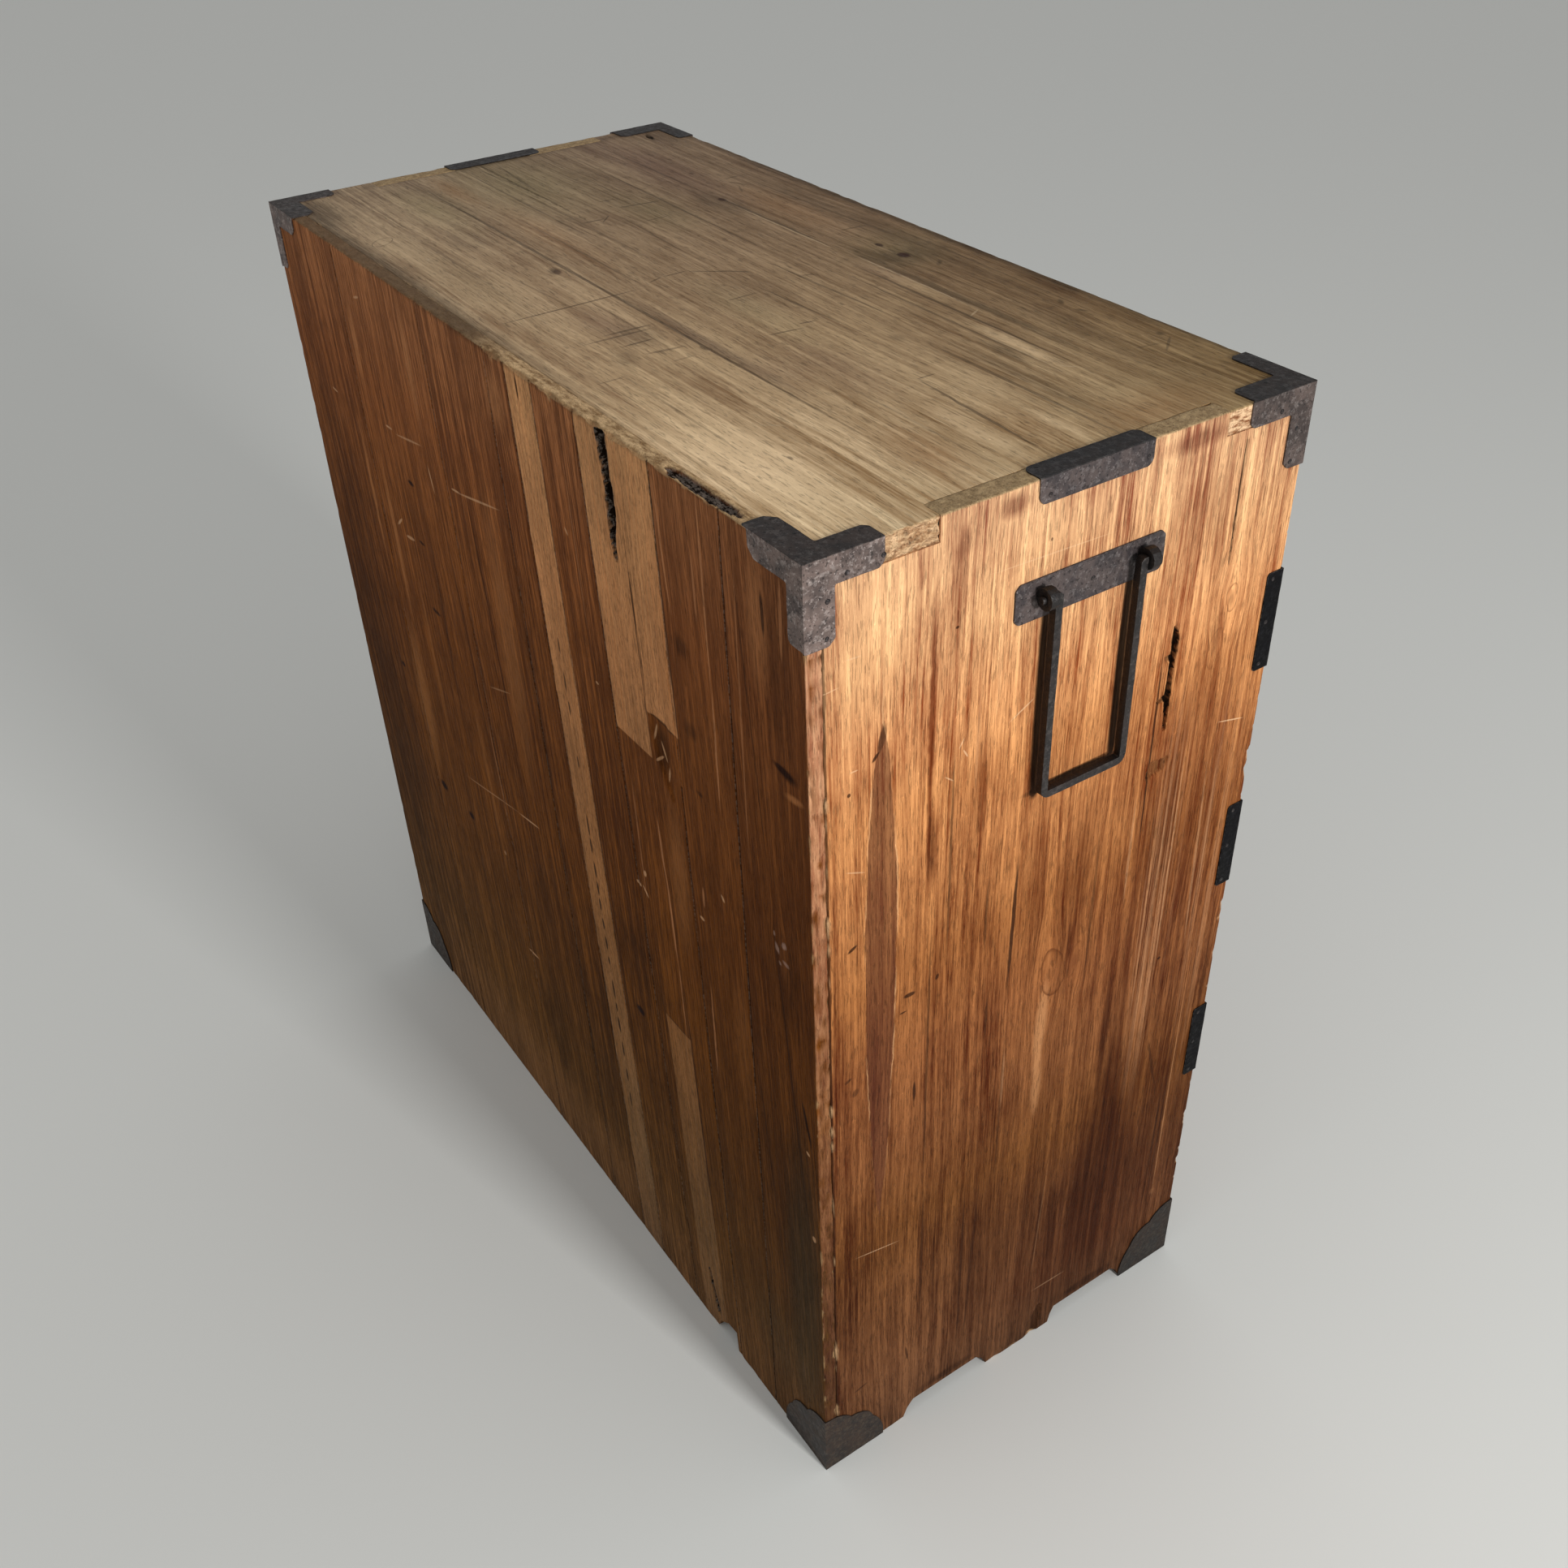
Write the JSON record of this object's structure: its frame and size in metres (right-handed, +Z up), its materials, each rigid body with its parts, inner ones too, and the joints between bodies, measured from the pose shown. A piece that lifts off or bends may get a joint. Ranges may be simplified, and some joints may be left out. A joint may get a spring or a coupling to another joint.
{
  "type": "ship chest",
  "caption": "Tall boarded ship chest with forged corner irons, a long carrying bail at each end, drawers and a hinged safe door.",
  "frame": {"origin": "on the floor, under the middle of the whole chest, front pulls and irons included", "axes": "+Z up, -Y the drawer front, +Y the boarded back, X the width with a carrying handle at each end"},
  "size_m": [0.9434, 0.4554, 0.9712],
  "materials": {
    "cedar_top": "bare, grey-brown, scratched",
    "cedar_end": "oiled, worn, strong upright grain",
    "cedar_back": "dark stained boards",
    "zelkova_front": "wiped lacquer",
    "paulownia_inside": "bare, planed",
    "forged_iron": "forged, brown-black scale",
    "black_iron": "blackened, smooth"
  },
  "bodies": {
    "carcass": {"top_board": "cedar_top", "side_board_left": "cedar_end", "side_board_right": "cedar_end", "back_boards": "cedar_back", "front_rails": "zelkova_front", "dust_boards": "paulownia_inside", "bottom_board": "paulownia_inside", "safe_partition": "paulownia_inside", "small_drawer_shelf": "paulownia_inside", "safe_shelf": "paulownia_inside", "door_stops": "paulownia_inside", "top_corner_irons": "forged_iron", "bottom_corner_irons": "forged_iron", "top_edge_straps": "forged_iron", "side_handle_plates": "forged_iron", "side_handle_posts": "forged_iron", "safe_hinge_leaves": "forged_iron", "safe_hinge_pins": "forged_iron", "front_edge_straps": "black_iron"},
    "left_handle": {"side_handle_left": "forged_iron"},
    "right_handle": {"side_handle_right": "forged_iron"},
    "top_drawer": {"top_drawer_front": "zelkova_front", "top_drawer_box": "paulownia_inside", "top_drawer_pull_mounts": "forged_iron", "top_drawer_lock": "forged_iron"},
    "top_drawer_bolt": {"top_drawer_lock_bolt": "forged_iron"},
    "top_drawer_pull_left": {"top_drawer_pull_left": "forged_iron"},
    "top_drawer_pull_right": {"top_drawer_pull_right": "forged_iron"},
    "middle_drawer": {"middle_drawer_front": "zelkova_front", "middle_drawer_box": "paulownia_inside", "middle_drawer_pull_mounts": "forged_iron", "middle_drawer_lock": "forged_iron"},
    "middle_drawer_bolt": {"middle_drawer_lock_bolt": "forged_iron"},
    "middle_drawer_pull_left": {"middle_drawer_pull_left": "forged_iron"},
    "middle_drawer_pull_right": {"middle_drawer_pull_right": "forged_iron"},
    "lower_drawer": {"lower_drawer_front": "zelkova_front", "lower_drawer_box": "paulownia_inside", "lower_drawer_pull_mounts": "forged_iron", "lower_drawer_lock": "forged_iron"},
    "lower_drawer_bolt": {"lower_drawer_lock_bolt": "forged_iron"},
    "lower_drawer_pull_left": {"lower_drawer_pull_left": "forged_iron"},
    "lower_drawer_pull_right": {"lower_drawer_pull_right": "forged_iron"},
    "upper_small_drawer": {"upper_small_drawer_front": "zelkova_front", "upper_small_drawer_box": "paulownia_inside", "upper_small_drawer_pull_mounts": "forged_iron"},
    "upper_small_drawer_pull": {"upper_small_drawer_pull": "forged_iron"},
    "lower_small_drawer": {"lower_small_drawer_front": "zelkova_front", "lower_small_drawer_box": "paulownia_inside", "lower_small_drawer_pull_mounts": "forged_iron"},
    "lower_small_drawer_pull": {"lower_small_drawer_pull": "forged_iron"},
    "safe_door": {"safe_door": "zelkova_front", "safe_door_straps": "forged_iron", "safe_door_pull_mounts": "forged_iron", "safe_door_lock": "forged_iron"},
    "safe_door_pull": {"safe_door_pull": "forged_iron"},
    "safe_door_bolt": {"safe_door_lock_bolt": "forged_iron"}
  },
  "joints": [
    {"name": "left_handle_swing", "type": "hinge", "parent": "carcass", "child": "left_handle", "pos_m": [-0.4637, -0.0105, 0.8855], "axis": [0, 1, 0], "range_deg": [0, 180]},
    {"name": "right_handle_swing", "type": "hinge", "parent": "carcass", "child": "right_handle", "pos_m": [0.4637, -0.0105, 0.8855], "axis": [0, -1, 0], "range_deg": [0, 180]},
    {"name": "top_drawer_slide", "type": "slide", "parent": "carcass", "child": "top_drawer", "axis": [0, -1, 0], "range_m": [0, 0.34]},
    {"name": "top_drawer_bolt_slide", "type": "slide", "parent": "top_drawer", "child": "top_drawer_bolt", "axis": [0, 0, 1], "range_m": [0, 0.008]},
    {"name": "top_drawer_pull_left_swing", "type": "hinge", "parent": "top_drawer", "child": "top_drawer_pull_left", "pos_m": [-0.235, -0.2212, 0.8789], "axis": [-1, 0, 0], "range_deg": [0, 180]},
    {"name": "top_drawer_pull_right_swing", "type": "hinge", "parent": "top_drawer", "child": "top_drawer_pull_right", "pos_m": [0.235, -0.2212, 0.8789], "axis": [-1, 0, 0], "range_deg": [0, 180]},
    {"name": "middle_drawer_slide", "type": "slide", "parent": "carcass", "child": "middle_drawer", "axis": [0, -1, 0], "range_m": [0, 0.34]},
    {"name": "middle_drawer_bolt_slide", "type": "slide", "parent": "middle_drawer", "child": "middle_drawer_bolt", "axis": [0, 0, 1], "range_m": [0, 0.008]},
    {"name": "middle_drawer_pull_left_swing", "type": "hinge", "parent": "middle_drawer", "child": "middle_drawer_pull_left", "pos_m": [-0.235, -0.2212, 0.6764], "axis": [-1, 0, 0], "range_deg": [0, 180]},
    {"name": "middle_drawer_pull_right_swing", "type": "hinge", "parent": "middle_drawer", "child": "middle_drawer_pull_right", "pos_m": [0.235, -0.2212, 0.6764], "axis": [-1, 0, 0], "range_deg": [0, 180]},
    {"name": "lower_drawer_slide", "type": "slide", "parent": "carcass", "child": "lower_drawer", "axis": [0, -1, 0], "range_m": [0, 0.34]},
    {"name": "lower_drawer_bolt_slide", "type": "slide", "parent": "lower_drawer", "child": "lower_drawer_bolt", "axis": [0, 0, 1], "range_m": [0, 0.008]},
    {"name": "lower_drawer_pull_left_swing", "type": "hinge", "parent": "lower_drawer", "child": "lower_drawer_pull_left", "pos_m": [-0.235, -0.2212, 0.4464], "axis": [-1, 0, 0], "range_deg": [0, 180]},
    {"name": "lower_drawer_pull_right_swing", "type": "hinge", "parent": "lower_drawer", "child": "lower_drawer_pull_right", "pos_m": [0.235, -0.2212, 0.4464], "axis": [-1, 0, 0], "range_deg": [0, 180]},
    {"name": "upper_small_drawer_slide", "type": "slide", "parent": "carcass", "child": "upper_small_drawer", "axis": [0, -1, 0], "range_m": [0, 0.34]},
    {"name": "upper_small_drawer_pull_swing", "type": "hinge", "parent": "upper_small_drawer", "child": "upper_small_drawer_pull", "pos_m": [-0.16225, -0.2212, 0.2624], "axis": [-1, 0, 0], "range_deg": [0, 180]},
    {"name": "lower_small_drawer_slide", "type": "slide", "parent": "carcass", "child": "lower_small_drawer", "axis": [0, -1, 0], "range_m": [0, 0.34]},
    {"name": "lower_small_drawer_pull_swing", "type": "hinge", "parent": "lower_small_drawer", "child": "lower_small_drawer_pull", "pos_m": [-0.16225, -0.2212, 0.1324], "axis": [-1, 0, 0], "range_deg": [0, 180]},
    {"name": "safe_door_swing", "type": "hinge", "parent": "carcass", "child": "safe_door", "pos_m": [0.435, -0.2175, 0.187], "axis": [0, 0, 1], "range_deg": [0, 180]},
    {"name": "safe_door_bolt_slide", "type": "slide", "parent": "safe_door", "child": "safe_door_bolt", "axis": [-1, 0, 0], "range_m": [0, 0.008]},
    {"name": "safe_door_pull_swing", "type": "hinge", "parent": "safe_door", "child": "safe_door_pull", "pos_m": [0.27025, -0.2212, 0.198], "axis": [-1, 0, 0], "range_deg": [0, 180]}
  ]
}
